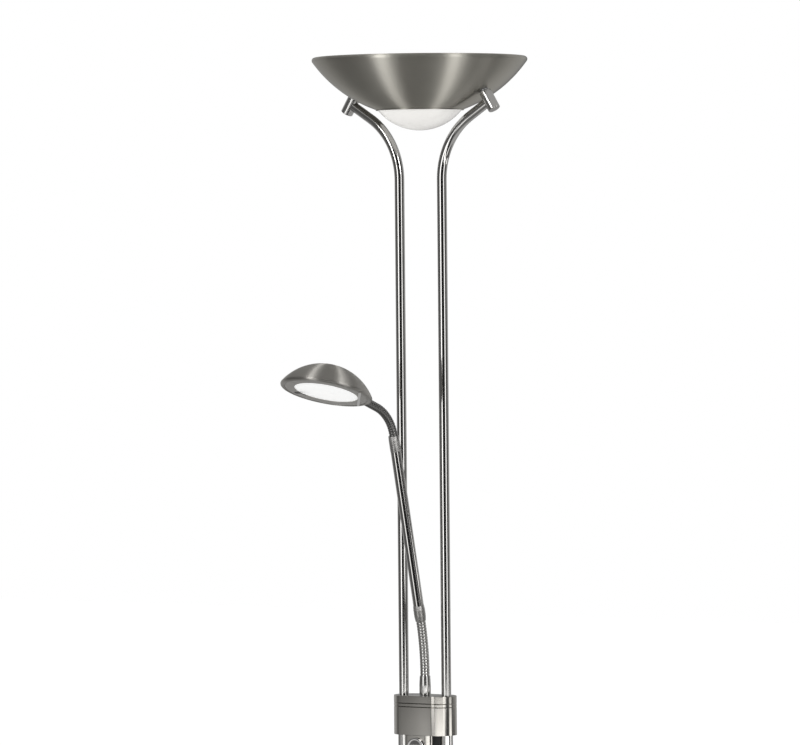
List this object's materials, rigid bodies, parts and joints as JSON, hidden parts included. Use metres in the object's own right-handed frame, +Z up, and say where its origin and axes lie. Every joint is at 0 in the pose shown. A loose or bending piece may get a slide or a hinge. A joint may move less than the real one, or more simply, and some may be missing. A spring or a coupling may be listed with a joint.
{
  "type": "torchiere floor lamp with reading light",
  "caption": "Torchiere floor lamp: spun steel uplighter bowl with opal glass on bent poles, gooseneck reading head, rotary dimmers, weighted round base.",
  "frame": {"origin": "centre of the base's underside, on the floor, midway between the poles", "axes": "+Z up along the poles, -Y to the front where the reading arm leans, +X to the right pole"},
  "size_m": [0.28, 0.4093, 1.8],
  "materials": {
    "brushed_nickel": "spun and brushed nickel on steel",
    "satin_nickel": "satin nickel tube",
    "chrome_knob": "polished chrome",
    "zinc_steel": "zinc plated steel",
    "spring_steel": "dark spring steel",
    "brass": "turned brass",
    "cast_iron": "rough cast iron",
    "black_foam": "soft black pad",
    "black_plastic": "moulded black plastic",
    "white_plastic": "moulded white plastic",
    "board_green": "printed board",
    "opal_glass": "opal white glass",
    "frosted_glass": "frosted glass",
    "clear_glass": "clear hardened glass",
    "ceramic": "unglazed white ceramic",
    "ring_grey": "grey painted sheet",
    "reflector": "bright aluminium"
  },
  "bodies": {
    "stand": {"arm_socket": "satin_nickel", "base_cover": "brushed_nickel", "base_pad": "black_foam", "base_washers": "zinc_steel", "base_weight": "cast_iron", "board_components": "black_plastic", "bowl": "brushed_nickel", "bowl_knobs": "brushed_nickel", "bowl_saddles": "zinc_steel", "bowl_studs": "zinc_steel", "circuit_board": "board_green", "collar_band": "brushed_nickel", "collar_body": "brushed_nickel", "collar_cap": "brushed_nickel", "collar_screws": "zinc_steel", "control_box": "black_plastic", "control_cover": "brushed_nickel", "cord_grommet": "black_plastic", "dimmer_plate": "zinc_steel", "dimmers": "black_plastic", "glass_clips": "zinc_steel", "halogen_tube": "clear_glass", "hexagon_nuts": "zinc_steel", "lamp_bracket": "zinc_steel", "lampholders": "ceramic", "lower_gooseneck_bottom": "satin_nickel", "lower_pole_left": "satin_nickel", "lower_pole_right": "satin_nickel", "opal_glass": "opal_glass", "pole_nipples": "brass", "pole_plugs": "brass", "safety_glass": "clear_glass", "shield_carriers": "zinc_steel", "small_screws": "zinc_steel", "stud_nuts": "zinc_steel", "terminal_block": "white_plastic", "upper_pole_left": "satin_nickel", "upper_pole_right": "satin_nickel"},
    "lower_neck": {"lower_gooseneck_top": "satin_nickel"},
    "arm": {"arm_lower_ferrule": "satin_nickel", "arm_tube": "satin_nickel", "arm_upper_ferrule": "satin_nickel", "upper_gooseneck_bottom": "satin_nickel"},
    "upper_neck": {"upper_gooseneck_top": "satin_nickel"},
    "head": {"head_socket": "satin_nickel", "head_seat": "zinc_steel", "head_nut": "zinc_steel", "head_bracket": "zinc_steel", "reading_shade": "brushed_nickel", "reading_ring": "ring_grey", "frosted_disc": "frosted_glass", "disc_spring": "spring_steel", "retaining_strip": "zinc_steel", "reading_reflector": "reflector", "reading_lampholder": "ceramic", "capsule_bulb": "clear_glass"},
    "upper_dial": {"dimmer_knob_upper": "chrome_knob", "dimmer_shaft_upper": "brass"},
    "lower_dial": {"dimmer_knob_lower": "chrome_knob", "dimmer_shaft_lower": "brass"}
  },
  "joints": [
    {"name": "lower_neck_tilt", "type": "hinge", "parent": "stand", "child": "lower_neck", "pos_m": [0, -0.00083, 1.01867], "axis": [1, 0, 0], "range_deg": [-2, 45], "deforming": ["lower_gooseneck_bottom"]},
    {"name": "lower_neck_swing", "type": "hinge", "parent": "lower_neck", "child": "arm", "pos_m": [0, -0.00401, 1.04576], "axis": [0, 0.9871, 0.1602], "range_deg": [-25, 25], "deforming": ["lower_gooseneck_top"]},
    {"name": "upper_neck_tilt", "type": "hinge", "parent": "arm", "child": "upper_neck", "pos_m": [0, -0.0834, 1.33652], "axis": [1, 0, 0], "range_deg": [-50, 50], "deforming": ["upper_gooseneck_bottom"]},
    {"name": "upper_neck_swing", "type": "hinge", "parent": "upper_neck", "child": "head", "pos_m": [0, -0.11354, 1.35088], "axis": [0, 0.3223, 0.9466], "range_deg": [-45, 45], "deforming": ["upper_gooseneck_top"]},
    {"name": "upper_dial_turn", "type": "hinge", "parent": "stand", "child": "upper_dial", "pos_m": [0, -0.022, 0.904], "axis": [0, -1, 0], "range_deg": [0, 270]},
    {"name": "lower_dial_turn", "type": "hinge", "parent": "stand", "child": "lower_dial", "pos_m": [0, -0.022, 0.867], "axis": [0, -1, 0], "range_deg": [0, 270]}
  ]
}
